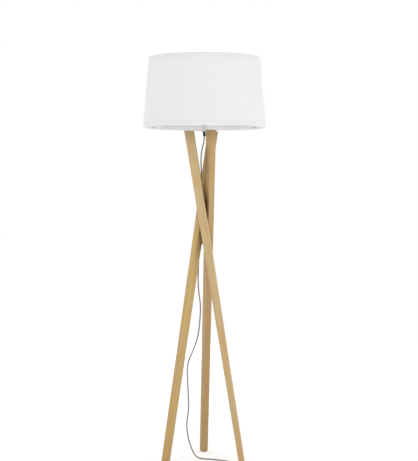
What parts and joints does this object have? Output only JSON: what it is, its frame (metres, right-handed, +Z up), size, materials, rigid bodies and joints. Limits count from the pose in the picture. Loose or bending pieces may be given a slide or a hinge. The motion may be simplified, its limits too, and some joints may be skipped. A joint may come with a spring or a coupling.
{
  "type": "tripod floor lamp",
  "caption": "Tripod floor lamp with crossing tapered wooden legs, a tapered white drum shade on a screw lampholder, and a mains lead with a foot switch and plug.",
  "frame": {"origin": "on the floor under the lamp's vertical axis", "axes": "+Z up along the lamp's axis, -Y towards the picture's camera, +X to the right of the picture"},
  "size_m": [0.45, 0.45, 1.466],
  "materials": {
    "leg_wood": "clear matt lacquer on pale hardwood",
    "glide_plastic": "moulded, dull",
    "white_metal": "white powder coat",
    "bare_steel": "zinc plated",
    "contact_brass": "bare",
    "black_plastic": "fine moulded grain",
    "white_plastic": "smooth moulded",
    "holder_ceramic": "unglazed",
    "shade_cloth": "plain weave on a stiff backing",
    "opal_glass": "opal, satin",
    "cord_sheath": "round sheath, dull"
  },
  "bodies": {
    "stand": {"leg_front_right": "leg_wood", "leg_rear": "leg_wood", "leg_front_left": "leg_wood", "foot_glides": "glide_plastic", "crossing_dowels": "bare_steel", "top_plate": "white_metal", "plate_screws": "bare_steel", "lock_nut": "bare_steel", "threaded_nipple": "bare_steel", "stem_collar": "white_metal", "stem_sleeve": "bare_steel", "cord_grip": "black_plastic", "inner_lead": "cord_sheath", "holder_cap": "white_plastic", "holder_insert": "holder_ceramic", "terminal_screws": "bare_steel", "centre_contact": "contact_brass", "side_contact": "contact_brass", "holder_shell": "white_plastic", "cord_drop": "cord_sheath", "switch_base": "black_plastic", "switch_cover": "black_plastic", "switch_latch": "black_plastic", "switch_screws": "bare_steel", "switch_bushings": "black_plastic", "cord_lead": "cord_sheath", "cord_coil": "cord_sheath", "cord_tie": "black_plastic", "cord_tail": "cord_sheath", "plug_body": "black_plastic", "plug_pins": "bare_steel"},
    "shade": {"shade_panel": "shade_cloth", "shade_top_hoop": "white_metal", "shade_lower_frame": "white_metal"},
    "clamp_ring": {"shade_ring": "white_plastic"},
    "bulb": {"bulb_glass": "opal_glass", "bulb_cap": "bare_steel", "bulb_contact": "contact_brass"},
    "button": {"switch_button": "black_plastic"}
  },
  "joints": [
    {"name": "shade_turn", "type": "hinge", "parent": "stand", "child": "shade", "pos_m": [0, 0, 1.2627], "axis": [0, 0, 1], "continuous": true},
    {"name": "ring_turn", "type": "hinge", "parent": "stand", "child": "clamp_ring", "pos_m": [0, 0, 1.268], "axis": [0, 0, 1], "continuous": true},
    {"name": "bulb_turn", "type": "hinge", "parent": "stand", "child": "bulb", "pos_m": [0, 0, 1.29], "axis": [0, 0, 1], "continuous": true},
    {"name": "button_press", "type": "slide", "parent": "stand", "child": "button", "axis": [0, 0, -1], "range_m": [0, 0.0035], "stiffness_N_per_m": 900, "springref_m": -0.004}
  ]
}
